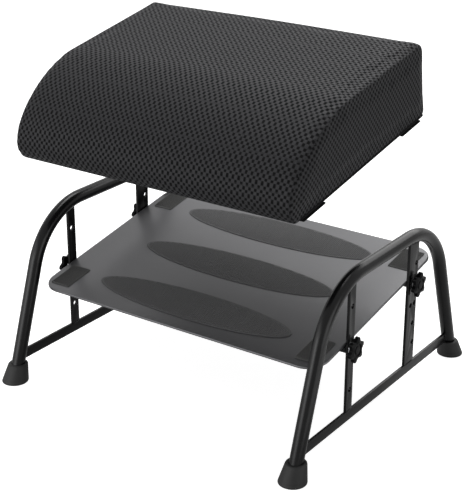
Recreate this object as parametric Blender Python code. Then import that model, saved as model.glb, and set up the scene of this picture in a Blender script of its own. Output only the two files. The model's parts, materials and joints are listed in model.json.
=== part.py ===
"""Under-desk footrest: two bent-tube side frames, a tilting steel platform and a loose foam cushion.

Metres, +Z up, X to the user's right, +Y away from the user. The origin is on the floor, midway
between the four feet. The cushion is shown lifted off the platform, the way it comes off.
"""

import math

import bmesh
import bpy
from mathutils import Matrix, Vector

for old_object in list(bpy.data.objects):
    bpy.data.objects.remove(old_object, do_unlink=True)

# Clearances
FIT = 0.0003
WELD_GAP = 0.0003
FOAM_GAP = 0.0007

# Side frames: a round tube bent into an arch, its legs leaning inwards as they rise
FRAME_SPAN = 0.471
TUBE_D = 0.019
TUBE_WALL = 0.0015
ARCH_HEIGHT = 0.2356
FEET_SPAN = 0.4386
LEG_LEAN = math.radians(18.55)
BEND_R = 0.1066
BEND_STEPS = 10
TUBE_SIDES = 20

# Flat steel welded into each arch
BAR_T = 0.004
LOWER_BAR_H = 0.0145
LOWER_BAR_Z = 0.0342
FRONT_UPRIGHT_W = 0.0152
REAR_UPRIGHT_W = 0.0256
FRONT_UPRIGHT_Y = -0.086
REAR_UPRIGHT_SETBACK = 0.0067

# Screw holes: three heights, and at each height the tilts for which the rear upright has a hole
HOLE_SLACK = 0.001
LOWEST_HOLE_Z = 0.0725
HEIGHT_PITCH = 0.060
SCREW_SPAN = 0.173
TILT_STEP = math.radians(10)
TILTS_AT_HEIGHT = (3, 2, 1)
HEIGHT_SET = 1
TILT_SET = 1

# Rubber feet
FOOT_BASE_D = 0.0385
FOOT_WALL = 0.0045
FOOT_H = 0.025
FOOT_FLOOR = 0.0055
FOOT_EDGE_R = 0.002
FOOT_SIDES = 24

# Platform sheet with its edge turned down, on two cross tubes
SHEET_SIDE_GAP = 0.001
SHEET_OVERHANG = 0.075
SHEET_T = 0.0015
SHEET_RIM = 0.0032
SHEET_CORNER_R = 0.030
SHEET_EDGE_R = 0.002
CROSS_TUBE_D = 0.016
CROSS_TUBE_WALL = 0.0015
PLUG_LENGTH = 0.012

# Rubber treads and hook-and-loop patches
TREAD_LENGTH = 0.319
TREAD_WIDTH = 0.063
TREAD_T = 0.0016
TREAD_PITCH = 0.1075
TREAD_EDGE = 0.0008
TREAD_SIDES = 40
PATCH_WIDTH = 0.032
PATCH_LENGTH = 0.051
PATCH_T = 0.0016
PATCH_SIDE_INSET = 0.0105
PATCH_END_INSET = 0.0135
PATCH_CORNER_R = 0.002
LOOP_WIDTH = 0.026

# Clamping knobs
STUD_D = 0.006
STUD_REACH = 0.005
STUD_IN_KNOB = 0.006
WASHER_D = 0.016
WASHER_SLACK = 0.0008
WASHER_T = 0.0012
KNOB_D = 0.0355
KNOB_LOBES = 6
KNOB_LOBE_DEPTH = 0.0048
KNOB_PHASE = math.radians(-24)
KNOB_T = 0.006
KNOB_COLLAR_D = 0.016
KNOB_COLLAR_T = 0.0025
KNOB_EDGE_R = 0.0015
KNOB_DISH_D = 0.015
KNOB_DISH = 0.001

# Cushion
CUSHION_SIDE_INSET = 0.01575
CUSHION_OVERHANG = 0.00525
CUSHION_H = 0.108
CUSHION_LIFT = 0.204
NOSE_H = 0.022
NOSE_TUCK = 0.017
FRONT_SLOPE = 0.137
FRONT_FULLNESS = 1.7
BACK_EDGE_R = 0.012
BASE_EDGE_R = 0.008
END_EDGE_R = 0.009
END_BASE_SHARE = 0.25
CROWN = 0.002
COVER_T = 0.002
BASE_LIP = 0.018
BASE_CORNER_R = 0.010

# What follows from the sizes above
FRAME_X = FRAME_SPAN / 2
TUBE_R = TUBE_D / 2
SCREW_Y = FRONT_UPRIGHT_Y
SCREW_Z = LOWEST_HOLE_Z + HEIGHT_SET * HEIGHT_PITCH
HOLE_D = STUD_D + HOLE_SLACK
REAR_UPRIGHT_Y = FRONT_UPRIGHT_Y + SCREW_SPAN - REAR_UPRIGHT_SETBACK
UPRIGHT_INNER_X = FRAME_X - BAR_T / 2
UPRIGHT_OUTER_X = FRAME_X + BAR_T / 2
PLATFORM_TILT = TILT_SET * TILT_STEP
SHEET_WIDTH = 2 * (UPRIGHT_INNER_X - SHEET_SIDE_GAP)
SHEET_LENGTH = SCREW_SPAN + 2 * SHEET_OVERHANG
SHEET_TOP = CROSS_TUBE_D / 2 + FIT + SHEET_T
CROSS_TUBE_END_X = UPRIGHT_INNER_X - FIT
CUSHION_WIDTH = SHEET_WIDTH - 2 * CUSHION_SIDE_INSET
CUSHION_DEPTH = SHEET_LENGTH + 2 * CUSHION_OVERHANG
SEAT_HEIGHT = SHEET_TOP + FIT + PATCH_T + FIT + PATCH_T + FIT


def finish(name, colour, roughness, metallic=0.0):
    """A plain Principled material."""
    made = bpy.data.materials.new(name)
    made.use_nodes = True
    shader = made.node_tree.nodes["Principled BSDF"]
    shader.inputs["Base Color"].default_value = (*colour, 1.0)
    shader.inputs["Roughness"].default_value = roughness
    shader.inputs["Metallic"].default_value = metallic
    made.diffuse_color = (*colour, 1.0)
    return made


BLACK_POWDER_COAT = finish("black_powder_coat", (0.012, 0.012, 0.013), 0.35, 0.2)
GREY_POWDER_COAT = finish("grey_powder_coat", (0.16, 0.16, 0.165), 0.45, 0.3)
ZINC_STEEL = finish("zinc_steel", (0.45, 0.45, 0.46), 0.35, 1.0)
BLACK_RUBBER = finish("black_rubber", (0.010, 0.010, 0.010), 0.7)
BLACK_NYLON = finish("black_nylon", (0.012, 0.012, 0.012), 0.5)
HOOK_TAPE = finish("hook_tape", (0.022, 0.021, 0.019), 0.9)
MESH_FABRIC = finish("mesh_fabric", (0.025, 0.025, 0.027), 0.9)
BASE_CLOTH = finish("base_cloth", (0.015, 0.015, 0.016), 0.9)
FOAM = finish("foam", (0.55, 0.53, 0.48), 0.95)


def loft(rings, joined=False):
    """Quads between rings of equal length; the ends are capped, or joined to each other."""
    shell = bmesh.new()
    rows = [[shell.verts.new(point) for point in ring] for ring in rings]
    pairs = list(zip(rows, rows[1:]))
    if joined:
        pairs.append((rows[-1], rows[0]))
    for near, far in pairs:
        count = len(near)
        for i in range(count):
            j = (i + 1) % count
            shell.faces.new((near[i], near[j], far[j], far[i]))
    if not joined:
        shell.faces.new(list(reversed(rows[0])))
        shell.faces.new(rows[-1])
    bmesh.ops.recalc_face_normals(shell, faces=shell.faces)
    return shell


def circle(radius, height, sides):
    """A ring of points about Z."""
    step = 2 * math.pi / sides
    return [Vector((radius * math.cos(i * step), radius * math.sin(i * step), height)) for i in range(sides)]


def turned(profile, sides, joined=False):
    """A piece turned about Z from (radius, height) pairs."""
    return loft([circle(radius, height, sides) for radius, height in profile], joined)


def quarter_round(radius, steps):
    """(inset, drop) pairs over a rounded edge, from the face it starts on to the side it ends on."""
    turns = [math.pi / 2 * i / steps for i in range(steps + 1)]
    return [(radius * (1 - math.sin(turn)), radius * (1 - math.cos(turn))) for turn in turns]


def rounded_rectangle(width, length, corner_r, height, corner_steps=8):
    """A ring of points round a rectangle with round corners, centred on Z."""
    points = []
    for quarter, (sx, sy) in enumerate(((1, 1), (-1, 1), (-1, -1), (1, -1))):
        centre = Vector((sx * (width / 2 - corner_r), sy * (length / 2 - corner_r), height))
        for i in range(corner_steps + 1):
            turn = (quarter + i / corner_steps) * math.pi / 2
            points.append(centre + corner_r * Vector((math.cos(turn), math.sin(turn), 0)))
    return points


def place(name, shape, coat, parent=None, location=(0, 0, 0), rotation=(0, 0, 0)):
    """Turns a bmesh into a named object with its material."""
    mesh = bpy.data.meshes.new(name)
    shape.to_mesh(mesh)
    shape.free()
    mesh.materials.append(coat)
    mesh.shade_smooth()
    mesh.set_sharp_from_angle(angle=math.radians(35))
    made = bpy.data.objects.new(name, mesh)
    bpy.context.collection.objects.link(made)
    made.parent = parent
    made.location = location
    made.rotation_euler = rotation
    return made


def empty(name, location, rotation=(0, 0, 0), parent=None):
    """A joint's axis, or a seat that pieces are placed from."""
    made = bpy.data.objects.new(name, None)
    bpy.context.collection.objects.link(made)
    made.parent = parent
    made.location = location
    made.rotation_euler = rotation
    return made


def cut_away(target, name, shape, location=(0, 0, 0), rotation=(0, 0, 0)):
    """Subtracts a hidden cutter, which shares the target's parent, from the target."""
    cutter = place(name, shape, BLACK_POWDER_COAT, target.parent, location, rotation)
    cutter.hide_render = True
    cutter.display_type = "WIRE"
    boolean = target.modifiers.new(name, "BOOLEAN")
    boolean.operation = "DIFFERENCE"
    boolean.solver = "EXACT"
    boolean.object = cutter


# Geometry of the bent tube, in the frame's own Y-Z plane
FLAT_HALF = FEET_SPAN / 2 - ARCH_HEIGHT * math.tan(LEG_LEAN) - BEND_R * math.tan((math.pi / 2 - LEG_LEAN) / 2)
LEG_UP = Vector((0, math.sin(LEG_LEAN), math.cos(LEG_LEAN)))


def leg_y(height):
    """How far the leg's centreline is from the frame's middle at a height, below the bend."""
    return FEET_SPAN / 2 - height * math.tan(LEG_LEAN)


def arch_underside(y, offset):
    """Height of a line that runs the given offset inside the tube's centreline, at a place along Y."""
    past_flat = max(abs(y) - FLAT_HALF, 0.0)
    return ARCH_HEIGHT - BEND_R + math.sqrt((BEND_R - offset) ** 2 - past_flat**2)


TUBE_START = (FOOT_FLOOR + FIT + TUBE_R * math.sin(LEG_LEAN)) / math.cos(LEG_LEAN)


def arch_stations():
    """(centre, inward normal) of each section along the arch, from the front foot to the rear one."""
    half = []
    start = Vector((0, -FEET_SPAN / 2, 0)) + TUBE_START * LEG_UP
    half.append((start, Vector((0, math.cos(LEG_LEAN), -math.sin(LEG_LEAN)))))
    centre = Vector((0, -FLAT_HALF, ARCH_HEIGHT - BEND_R))
    for i in range(BEND_STEPS + 1):
        turn = LEG_LEAN + (math.pi / 2 - LEG_LEAN) * i / BEND_STEPS
        outward = Vector((0, -math.cos(turn), math.sin(turn)))
        half.append((centre + BEND_R * outward, -outward))
    mirrored = [(Vector((0, -p.y, p.z)), Vector((0, -n.y, n.z))) for p, n in reversed(half)]
    return half + mirrored


def arch_rings(radius, sides):
    """Circular sections of one radius along the arch."""
    rings = []
    for centre, inward in arch_stations():
        ring = []
        for i in range(sides):
            turn = 2 * math.pi * i / sides
            ring.append(centre + radius * (math.cos(turn) * inward + math.sin(turn) * Vector((1, 0, 0))))
        rings.append(ring)
    return rings


def arch_tube():
    """The bent tube with its bore open at both ends."""
    skin = bmesh.new()
    walls = []
    for radius in (TUBE_R, TUBE_R - TUBE_WALL):
        rows = [[skin.verts.new(point) for point in ring] for ring in arch_rings(radius, TUBE_SIDES)]
        for near, far in zip(rows, rows[1:]):
            for i in range(TUBE_SIDES):
                j = (i + 1) % TUBE_SIDES
                skin.faces.new((near[i], near[j], far[j], far[i]))
        walls.append(rows)
    for end in (0, -1):
        outer, inner = walls[0][end], walls[1][end]
        for i in range(TUBE_SIDES):
            j = (i + 1) % TUBE_SIDES
            skin.faces.new((outer[i], outer[j], inner[j], inner[i]))
    bmesh.ops.recalc_face_normals(skin, faces=skin.faces)
    return skin


def flat_bar(outline):
    """Flat steel of one thickness, cut to an outline of (y, z) points."""
    return loft([[Vector((x, y, z)) for y, z in outline] for x in (-BAR_T / 2, BAR_T / 2)])


def lower_bar_outline():
    """A bar whose ends are cut to lie along the leaning legs."""
    reach = (TUBE_R + WELD_GAP) / math.cos(LEG_LEAN)
    low, high = LOWER_BAR_Z - LOWER_BAR_H / 2, LOWER_BAR_Z + LOWER_BAR_H / 2
    front = [(-(leg_y(z) - reach), z) for z in (high, low)]
    rear = [(leg_y(z) - reach, z) for z in (low, high)]
    return front + rear


def upright_outline(centre_y, width, steps=5):
    """An upright that stands on the lower bar, with its top fitted under the arch."""
    foot = LOWER_BAR_Z + LOWER_BAR_H / 2 + WELD_GAP
    left, right = centre_y - width / 2, centre_y + width / 2
    outline = [(left, foot), (right, foot)]
    for i in range(steps + 1):
        y = right + (left - right) * i / steps
        outline.append((y, arch_underside(y, TUBE_R + WELD_GAP)))
    return outline


def front_holes():
    """(y, z) of the front upright's holes, one for each height."""
    return [(SCREW_Y, LOWEST_HOLE_Z + i * HEIGHT_PITCH) for i in range(len(TILTS_AT_HEIGHT))]


def rear_holes():
    """(y, z) of the rear holes: each lies one screw span from a front hole, at one of its tilts."""
    holes = []
    for (y, z), tilts in zip(front_holes(), TILTS_AT_HEIGHT):
        for i in range(tilts):
            tilt = i * TILT_STEP
            holes.append((y + SCREW_SPAN * math.cos(tilt), z + SCREW_SPAN * math.sin(tilt)))
    return holes


def make_upright(name, centre_y, width, holes, side_x):
    """One upright with its row of screw holes."""
    bar = place(name, flat_bar(upright_outline(centre_y, width)), BLACK_POWDER_COAT, location=(side_x, 0, 0))
    drills = bmesh.new()
    for y, z in holes:
        drill = turned([(HOLE_D / 2, -BAR_T), (HOLE_D / 2, BAR_T)], 16)
        drill.transform(Matrix.Translation((0, y, z)) @ Matrix.Rotation(math.pi / 2, 4, "Y"))
        drill_mesh = bpy.data.meshes.new("drill")
        drill.to_mesh(drill_mesh)
        drill.free()
        drills.from_mesh(drill_mesh)
    cut_away(bar, name + "_drills", drills, location=(side_x, 0, 0))


def foot_rings():
    """Sections of a foot: a leaning cone with rounded edges, from the floor to the collar round the leg."""
    base_r, top_r = FOOT_BASE_D / 2, TUBE_R + FOOT_WALL
    edge = quarter_round(FOOT_EDGE_R, 3)
    cone = [(drop, base_r - inset) for inset, drop in edge]
    cone += [(FOOT_H - drop, top_r - inset) for inset, drop in reversed(edge)]
    rings = []
    for height, radius in cone:
        shift = height * math.tan(LEG_LEAN)
        rings.append([point + Vector((0, shift, 0)) for point in circle(radius, height, FOOT_SIDES)])
    return rings


def make_foot(name, side_x, end):
    """A rubber foot with a leaning socket; end is -1 at the front and 1 at the rear."""
    facing = 0 if end < 0 else math.pi
    at = (side_x, end * FEET_SPAN / 2, 0)
    foot = place(name, loft(foot_rings()), BLACK_RUBBER, location=at, rotation=(0, 0, facing))
    socket_r = TUBE_R + FIT
    deep = TUBE_START - FIT
    socket = turned([(socket_r, deep), (socket_r, 2 * FOOT_H)], FOOT_SIDES)
    socket.transform(Matrix.Rotation(-LEG_LEAN, 4, "X"))
    cut_away(foot, name + "_socket", socket, location=at, rotation=(0, 0, facing))


def make_side(side, side_x):
    """One welded side frame with its two feet."""
    place(side + "_arch_tube", arch_tube(), BLACK_POWDER_COAT, location=(side_x, 0, 0))
    place(side + "_lower_bar", flat_bar(lower_bar_outline()), BLACK_POWDER_COAT, location=(side_x, 0, 0))
    make_upright("front_" + side + "_upright", FRONT_UPRIGHT_Y, FRONT_UPRIGHT_W, front_holes(), side_x)
    make_upright("rear_" + side + "_upright", REAR_UPRIGHT_Y, REAR_UPRIGHT_W, rear_holes(), side_x)
    make_foot("front_" + side + "_foot", side_x, -1)
    make_foot("rear_" + side + "_foot", side_x, 1)


def make_sheet(tilt_axis):
    """The platform: a sheet with a shallow turned-down edge, notched over the cross tubes."""
    steps = quarter_round(SHEET_EDGE_R, 2) + [(0.0, SHEET_RIM), (SHEET_T, SHEET_RIM), (SHEET_T, SHEET_T)]
    rings = []
    for inset, drop in steps:
        width, length = SHEET_WIDTH - 2 * inset, SHEET_LENGTH - 2 * inset
        rings.append(rounded_rectangle(width, length, SHEET_CORNER_R - inset, -drop))
    sheet = place(
        "platform_sheet", loft(rings), GREY_POWDER_COAT, tilt_axis, (0, SCREW_SPAN / 2, SHEET_TOP)
    )
    notch_r = CROSS_TUBE_D / 2 + FIT
    for end, y in (("front", 0.0), ("rear", SCREW_SPAN)):
        for side, sign in (("left", -1), ("right", 1)):
            middle_x = sign * (SHEET_WIDTH / 2 - SHEET_T / 2)
            notch = turned([(notch_r, -2 * SHEET_T), (notch_r, 2 * SHEET_T)], TUBE_SIDES)
            at = (middle_x, y, 0)
            cut_away(sheet, "_".join((end, side, "notch")), notch, at, (0, math.pi / 2, 0))


def make_cross_tube(tilt_axis, end, y):
    """A tube across the platform's underside, with a threaded plug in each end."""
    outer, inner = CROSS_TUBE_D / 2, CROSS_TUBE_D / 2 - CROSS_TUBE_WALL
    reach = CROSS_TUBE_END_X
    profile = [(outer, -reach), (outer, reach), (inner, reach), (inner, -reach)]
    lying = (0, math.pi / 2, 0)
    place(end + "_cross_tube", turned(profile, TUBE_SIDES, True), BLACK_POWDER_COAT, tilt_axis, (0, y, 0), lying)
    plug_r, bore_r = inner - WELD_GAP, STUD_D / 2 + FIT
    plug = [(plug_r, 0), (plug_r, PLUG_LENGTH), (bore_r, PLUG_LENGTH), (bore_r, 0)]
    for side, sign in (("left", -1), ("right", 1)):
        name = "_".join((end, side, "thread_plug"))
        facing = (0, sign * math.pi / 2, 0)
        at = (sign * (reach - PLUG_LENGTH), y, 0)
        place(name, turned(plug, TUBE_SIDES, True), ZINC_STEEL, tilt_axis, at, facing)


def make_tread(tilt_axis, name, y):
    """One elliptical rubber tread with a softened edge."""
    rings = []
    steps = [(0.0, 0.0), (0.0, TREAD_T - TREAD_EDGE), (TREAD_EDGE, TREAD_T)]
    for inset, height in steps:
        ring = circle(1.0, height, TREAD_SIDES)
        for point in ring:
            point.x *= TREAD_LENGTH / 2 - inset
            point.y *= TREAD_WIDTH / 2 - inset
        rings.append(ring)
    place(name, loft(rings), BLACK_RUBBER, tilt_axis, (0, y, SHEET_TOP + FIT))


def patch(width):
    """A flat piece of hook or loop tape."""
    return loft([rounded_rectangle(width, PATCH_LENGTH, PATCH_CORNER_R, z, 2) for z in (0, PATCH_T)])


def patch_places():
    """(name, side sign, y along the platform) for its four corners."""
    out = []
    for end, sign in (("front", -1), ("rear", 1)):
        y = SCREW_SPAN / 2 + sign * (SHEET_LENGTH / 2 - PATCH_END_INSET - PATCH_LENGTH / 2)
        for side, side_sign in (("left", -1), ("right", 1)):
            out.append((end + "_" + side, side_sign, y))
    return out


def make_platform(tilt_axis):
    """The sheet with all that is welded or stuck to it."""
    make_sheet(tilt_axis)
    make_cross_tube(tilt_axis, "front", 0.0)
    make_cross_tube(tilt_axis, "rear", SCREW_SPAN)
    for i, name in enumerate(("front_tread", "middle_tread", "rear_tread")):
        make_tread(tilt_axis, name, SCREW_SPAN / 2 + (i - 1) * TREAD_PITCH)
    patch_x = SHEET_WIDTH / 2 - PATCH_SIDE_INSET - PATCH_WIDTH / 2
    for corner, sign, y in patch_places():
        place(corner + "_hook_patch", patch(PATCH_WIDTH), HOOK_TAPE, tilt_axis, (sign * patch_x, y, SHEET_TOP + FIT))


def knob_ring(radius, height, lobed):
    """A ring of the knob: a circle, or the star outline of the grip."""
    count = KNOB_LOBES * 8
    ring = []
    for i in range(count):
        turn = 2 * math.pi * i / count
        wave = lobed * KNOB_LOBE_DEPTH * (1 - math.cos(KNOB_LOBES * (turn - KNOB_PHASE))) / 2
        ring.append(Vector(((radius - wave) * math.cos(turn), (radius - wave) * math.sin(turn), height)))
    return ring


def star_knob():
    """The moulded grip: a collar, a lobed rim with rounded edges and a dished face, bored for its stud."""
    bore_r, grip_r, edge = STUD_D / 2 + FIT, KNOB_D / 2, KNOB_EDGE_R
    top = KNOB_COLLAR_T + KNOB_T
    rim = [knob_ring(grip_r - inset, top - drop, 1) for inset, drop in reversed(quarter_round(edge, 2))]
    rings = [
        knob_ring(bore_r, STUD_IN_KNOB + FIT, 0),
        knob_ring(bore_r, 0, 0),
        knob_ring(KNOB_COLLAR_D / 2, 0, 0),
        knob_ring(KNOB_COLLAR_D / 2, KNOB_COLLAR_T, 0),
        knob_ring(grip_r - edge, KNOB_COLLAR_T, 1),
        knob_ring(grip_r, KNOB_COLLAR_T + edge, 1),
        *rim,
        knob_ring(KNOB_DISH_D / 2, top, 0),
        knob_ring(KNOB_DISH_D / 2 - KNOB_DISH, top - KNOB_DISH, 0),
    ]
    return loft(rings)


def make_screw(tilt_axis, end, side, sign, y):
    """A star knob with its stud and washer, on the outside of an upright."""
    facing = (0, sign * math.pi / 2, 0)
    washer_x = UPRIGHT_OUTER_X + FIT
    knob_x = washer_x + WASHER_T + FIT
    tip_x = CROSS_TUBE_END_X - STUD_REACH
    corner = end + "_" + side
    outer, inner = WASHER_D / 2, (STUD_D + WASHER_SLACK) / 2
    ring = turned([(outer, 0), (outer, WASHER_T), (inner, WASHER_T), (inner, 0)], TUBE_SIDES, True)
    place(corner + "_washer", ring, ZINC_STEEL, tilt_axis, (sign * washer_x, y, 0), facing)
    length = knob_x + STUD_IN_KNOB - tip_x
    stud = turned([(STUD_D / 2 - FIT, 0), (STUD_D / 2, FIT), (STUD_D / 2, length)], 16)
    place(corner + "_stud", stud, ZINC_STEEL, tilt_axis, (sign * tip_x, y, 0), facing)
    place(corner + "_knob", star_knob(), BLACK_NYLON, tilt_axis, (sign * knob_x, y, 0), facing)


def cushion_outline():
    """The cushion's side view as (y, z) points: nose, sloping front, flat top, back."""
    front, back = -CUSHION_DEPTH / 2, CUSHION_DEPTH / 2
    points = []
    for i in range(5):
        turn = math.pi / 2 * i / 4
        points.append((front + NOSE_TUCK * (1 - math.sin(turn)), NOSE_H * (1 - math.cos(turn))))
    power = 2 / FRONT_FULLNESS
    for i in range(1, 13):
        turn = math.pi / 2 * i / 12
        y = front + FRONT_SLOPE * (1 - math.cos(turn) ** power)
        points.append((y, NOSE_H + (CUSHION_H - NOSE_H) * math.sin(turn) ** power))
    start, stop = front + FRONT_SLOPE, back - BACK_EDGE_R
    points += [(start + (stop - start) * i / 4, CUSHION_H) for i in range(1, 4)]
    points += [(back - inset, CUSHION_H - drop) for inset, drop in quarter_round(BACK_EDGE_R, 3)]
    points += [(back - drop, inset) for inset, drop in quarter_round(BASE_EDGE_R, 3)]
    return points


def cushion_form(inset):
    """The cushion's whole shape as a loft across X, drawn in all round by an inset."""
    outline = cushion_outline()
    inward = []
    for i in range(len(outline)):
        before, after = outline[i - 1], outline[(i + 1) % len(outline)]
        along = Vector((after[0] - before[0], after[1] - before[1])).normalized()
        inward.append((along.y, -along.x))
    half = CUSHION_WIDTH / 2 - inset
    edge = [(half - side, draw) for side, draw in quarter_round(END_EDGE_R, 3)]
    middle = half - END_EDGE_R
    across = [(-x, draw) for x, draw in reversed(edge)]
    across += [(middle * share, 0.0) for share in (-0.5, 0.0, 0.5)]
    across += edge
    rings = []
    for x, draw in across:
        rise = CROWN * (1 - (x / half) ** 2)
        ring = []
        for (y, z), (toward_y, toward_z) in zip(outline, inward):
            share = END_BASE_SHARE + (1 - END_BASE_SHARE) * min(z / NOSE_H, 1.0)
            step = inset + draw * share
            ring.append(Vector((x, y + toward_y * step, z + toward_z * step + rise * z / CUSHION_H)))
        rings.append(ring)
    return loft(rings)


def base_opening(gap, low, high):
    """The opening in the cover's underside, or the panel that fits it with a gap."""
    width = CUSHION_WIDTH - 2 * BASE_LIP - 2 * gap
    front, back = -CUSHION_DEPTH / 2 + BASE_LIP + gap, CUSHION_DEPTH / 2 - BASE_LIP - gap
    rings = [rounded_rectangle(width, back - front, BASE_CORNER_R - gap, z, 4) for z in (low, high)]
    return loft(rings)


def make_cushion(seat):
    """The cushion: a foam block in a cloth cover, closed below by a panel with loop patches."""
    cover = place("cushion_cover", cushion_form(0.0), MESH_FABRIC, seat)
    cut_away(cover, "cover_inside", cushion_form(COVER_T))
    cut_away(cover, "cover_opening", base_opening(0.0, -COVER_T, 2 * COVER_T))
    place("cushion_foam", cushion_form(COVER_T + FOAM_GAP), FOAM, seat)
    place("cushion_base_panel", base_opening(FIT, 0.0, COVER_T), BASE_CLOTH, seat)
    patch_x = SHEET_WIDTH / 2 - PATCH_SIDE_INSET - PATCH_WIDTH + LOOP_WIDTH / 2
    for corner, sign, y in patch_places():
        at = (sign * patch_x, y - SCREW_SPAN / 2, -FIT - PATCH_T)
        place(corner + "_loop_patch", patch(LOOP_WIDTH), HOOK_TAPE, seat, at)


for side_name, side_sign in (("left", -1), ("right", 1)):
    make_side(side_name, side_sign * FRAME_X)

tilt_axis_empty = empty("platform_tilt_axis", (0, SCREW_Y, SCREW_Z), (PLATFORM_TILT, 0, 0))
make_platform(tilt_axis_empty)
for end_name, screw_y in (("front", 0.0), ("rear", SCREW_SPAN)):
    for side_name, side_sign in (("left", -1), ("right", 1)):
        make_screw(tilt_axis_empty, end_name, side_name, side_sign, screw_y)

cushion_seat = empty("cushion_seat", (0, SCREW_SPAN / 2, SEAT_HEIGHT + CUSHION_LIFT), parent=tilt_axis_empty)
make_cushion(cushion_seat)
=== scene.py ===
# %% [markdown]
# # An under-desk footrest, dressed in Blender
#
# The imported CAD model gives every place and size. This lesson puts the looks on it: bent tube and
# flat bars in black powder coat, a grey platform with rubber treads, star knobs, and a foam cushion
# in mesh cloth. Most pieces are surfaces worked out as numpy arrays. All lengths are metres.

import json
import math

import bmesh
import bpy
import numpy as np
from mathutils import Matrix, Vector

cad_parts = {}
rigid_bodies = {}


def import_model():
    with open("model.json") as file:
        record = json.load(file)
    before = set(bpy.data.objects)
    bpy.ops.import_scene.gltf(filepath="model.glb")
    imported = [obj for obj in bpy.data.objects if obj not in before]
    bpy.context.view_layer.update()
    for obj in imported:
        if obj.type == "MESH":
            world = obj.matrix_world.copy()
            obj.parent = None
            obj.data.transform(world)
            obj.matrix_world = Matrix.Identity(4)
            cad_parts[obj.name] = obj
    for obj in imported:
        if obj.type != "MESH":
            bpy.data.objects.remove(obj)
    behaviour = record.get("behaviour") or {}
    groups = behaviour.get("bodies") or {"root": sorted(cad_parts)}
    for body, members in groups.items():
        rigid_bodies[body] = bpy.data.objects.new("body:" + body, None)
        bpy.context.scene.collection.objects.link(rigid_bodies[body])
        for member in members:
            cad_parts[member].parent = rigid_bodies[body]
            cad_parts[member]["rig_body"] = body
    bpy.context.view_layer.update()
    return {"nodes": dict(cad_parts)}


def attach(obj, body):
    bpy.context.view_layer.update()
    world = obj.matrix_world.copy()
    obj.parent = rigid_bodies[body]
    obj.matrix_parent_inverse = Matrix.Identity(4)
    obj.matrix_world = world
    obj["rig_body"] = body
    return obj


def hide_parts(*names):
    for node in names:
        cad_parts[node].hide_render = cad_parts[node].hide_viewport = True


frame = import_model()
MM = 0.001

# %% [markdown]
# ## The camera
#
# The picture was taken from the right front, 22 degrees down, with a long lens. A camera fitted to
# the straight edges of the frame gives its place and turn. The sensor's 36 mm lie along the longer
# side of the picture, so the focal length in pixels becomes millimetres by that side.

# %% Camera
PICTURE_HEIGHT = 493
FOCAL_PIXELS = 1354.35
CAMERA_AT = Vector((1.0031, -1.4596, 0.9187))
AZIMUTH, PITCH, ROLL = (math.radians(a) for a in (34.71, 22.38, 0.17))

camera_data = bpy.data.cameras.new("camera")
camera_data.sensor_width = 36.0
camera_data.lens = FOCAL_PIXELS / PICTURE_HEIGHT * camera_data.sensor_width
camera = bpy.data.objects.new("camera", camera_data)
bpy.context.scene.collection.objects.link(camera)
camera.matrix_world = (
    Matrix.Translation(CAMERA_AT)
    @ Matrix.Rotation(AZIMUTH, 4, "Z")
    @ Matrix.Rotation(math.pi / 2 - PITCH, 4, "X")
    @ Matrix.Rotation(ROLL, 4, "Z")
)
bpy.context.scene.camera = camera
print("lens", round(camera_data.lens, 2), "mm")

# %% [markdown]
# ## Surfaces from arrays
#
# A piece is a grid of points: one row for each section, one column for each place round it. The
# helpers below turn such a grid into a mesh, close its poles, point its faces outwards, and say
# which body it rides on and which CAD nodes it stands for. A texture of many small bumps is a field
# of boxes, made in one go by adding a box's eight corners to every centre.


# %% Helpers for shapes
def smooth_corners(corners, reach, steps=5):
    """Rounds a polyline: each inner corner P becomes the curve (1-t)^2 A + 2t(1-t) P + t^2 B,
    where A and B lie on the two sides at the given reach from P. A reach of 0 keeps the corner."""
    corners = np.asarray(corners, float)
    reach = np.broadcast_to(reach, len(corners))
    t = np.linspace(0, 1, steps + 1)[:, None]
    out = [corners[:1]]
    for before, here, after, r in zip(corners, corners[1:], corners[2:], reach[1:]):
        if r == 0:
            out.append(here[None])
            continue
        a = here + (before - here) * min(r / np.linalg.norm(before - here), 0.5)
        b = here + (after - here) * min(r / np.linalg.norm(after - here), 0.5)
        out.append((1 - t) ** 2 * a + 2 * t * (1 - t) * here + t**2 * b)
    out.append(corners[-1:])
    return np.concatenate(out)


def skin(rows, columns, closed_rows=False):
    """Index quads between neighbouring points of a grid whose columns run all the way round."""
    r = np.arange(rows if closed_rows else rows - 1)[:, None]
    c = np.arange(columns)[None, :]
    r2, c2 = (r + 1) % rows, (c + 1) % columns
    quads = np.stack([r * columns + c, r * columns + c2, r2 * columns + c2, r2 * columns + c], -1)
    return quads.reshape(-1, 4)


def turned(profile, sides):
    """A grid turned about Z: the point (r, z) of the profile goes to (r cos a, r sin a, z)."""
    r, z = np.asarray(profile, float).T[:, :, None]
    a = np.linspace(0, 2 * np.pi, sides, endpoint=False)[None, :]
    return np.stack([r * np.cos(a), r * np.sin(a), z + 0 * a], -1)


def swept(path, radii, up, sides):
    """A grid swept along a path: centre + radius (cos a N + sin a B), where N and B are square to
    the path's direction and N is square to the up vector too."""
    path = np.asarray(path, float)
    along = np.gradient(path, axis=0)
    along /= np.linalg.norm(along, axis=1, keepdims=True)
    n = np.cross(along, up)
    n /= np.linalg.norm(n, axis=1, keepdims=True)
    b = np.cross(along, n)
    a = np.linspace(0, 2 * np.pi, sides, endpoint=False)[None, :, None]
    r = np.broadcast_to(radii, len(path))[:, None, None]
    return path[:, None] + r * (np.cos(a) * n[:, None] + np.sin(a) * b[:, None])


def moved(points, matrix):
    """The points after a 4 x 4 matrix: R p + t."""
    m = np.array(matrix)
    return np.asarray(points) @ m[:3, :3].T + m[:3, 3]


def joined(*parts):
    """Several (points, faces) pairs as one, each part's indices shifted past those before it."""
    points, faces, count = [], [], 0
    for p, f in parts:
        p = np.asarray(p).reshape(-1, 3)
        points.append(p)
        faces += [[corner + count for corner in face] for face in f]
        count += len(p)
    return np.concatenate(points), faces


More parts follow.
